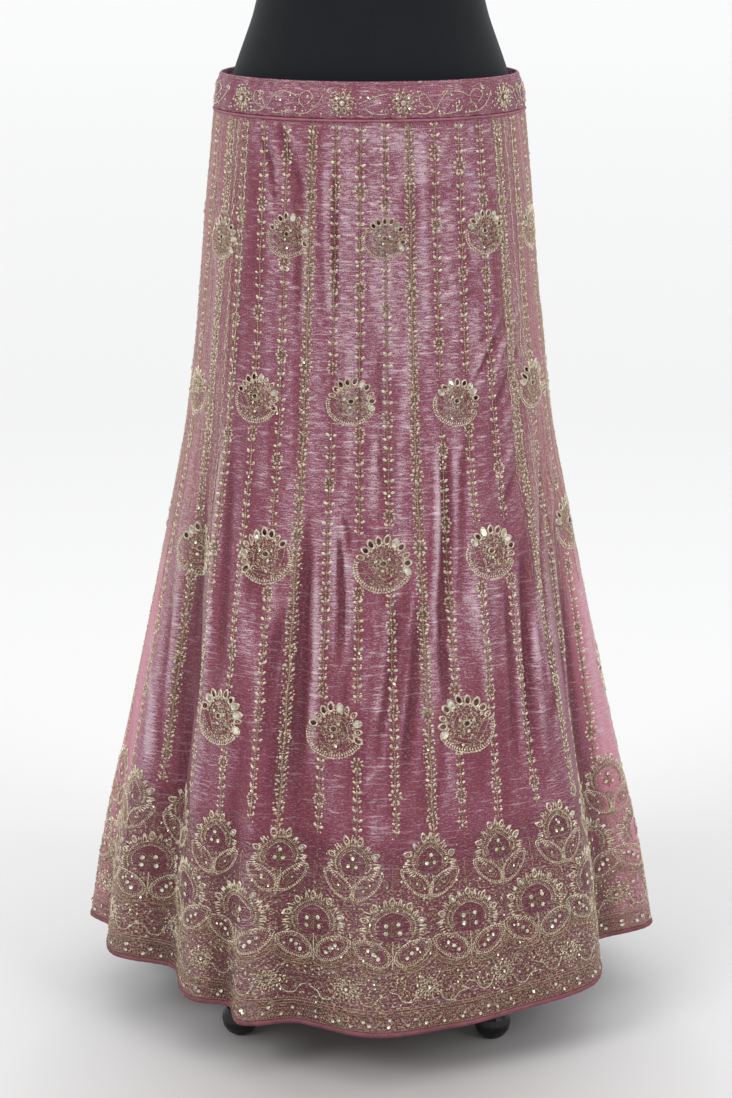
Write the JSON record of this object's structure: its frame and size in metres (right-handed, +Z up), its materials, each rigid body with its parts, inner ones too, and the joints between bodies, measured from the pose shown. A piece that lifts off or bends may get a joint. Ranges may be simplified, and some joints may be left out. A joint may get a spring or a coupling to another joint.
{
  "type": "lehenga skirt on dress form",
  "caption": "Floor-length A-line lehenga skirt of gored, embroidered tissue panels with a waistband and a bound hem, on a limbless dress form with a legged stand.",
  "frame": {"origin": "on the floor, under the middle of the object's bounding box", "axes": "+Z up, -Y out of the front of the skirt, +X to the viewer's right when facing the front"},
  "size_m": [0.6752, 0.5858, 1.6663],
  "materials": {
    "embroidered_tissue": "rose-pink metallic tissue with fine horizontal slubs and a lilac-silver sheen, covered in dull-gold zari embroidery, mirrors and sequins",
    "plain_binding": "plain rose-pink binding and piping",
    "form_cover": "matte black jersey cover with princess seams",
    "stand_metal": "black powder-coated steel",
    "foot": "black semi-gloss round foot"
  },
  "bodies": {
    "root": {"kali_side_left": "embroidered_tissue", "kali_front_left": "embroidered_tissue", "kali_front_centre": "embroidered_tissue", "kali_front_right": "embroidered_tissue", "kali_side_right": "embroidered_tissue", "kali_back_right": "embroidered_tissue", "kali_back_centre": "embroidered_tissue", "kali_back_left": "embroidered_tissue", "waistband_front": "embroidered_tissue", "waistband_back": "embroidered_tissue", "waist_piping": "plain_binding", "hem_binding_front": "plain_binding", "hem_binding_back": "plain_binding", "form_torso": "form_cover", "form_neck_cap": "form_cover", "stand_pole": "stand_metal", "stand_hub": "stand_metal", "stand_leg_front_right": "stand_metal", "stand_leg_back_right": "stand_metal", "stand_leg_back_left": "stand_metal", "stand_leg_front_left": "stand_metal", "foot_front_right": "foot", "foot_back_right": "foot", "foot_back_left": "foot", "foot_front_left": "foot"}
  },
  "joints": []
}
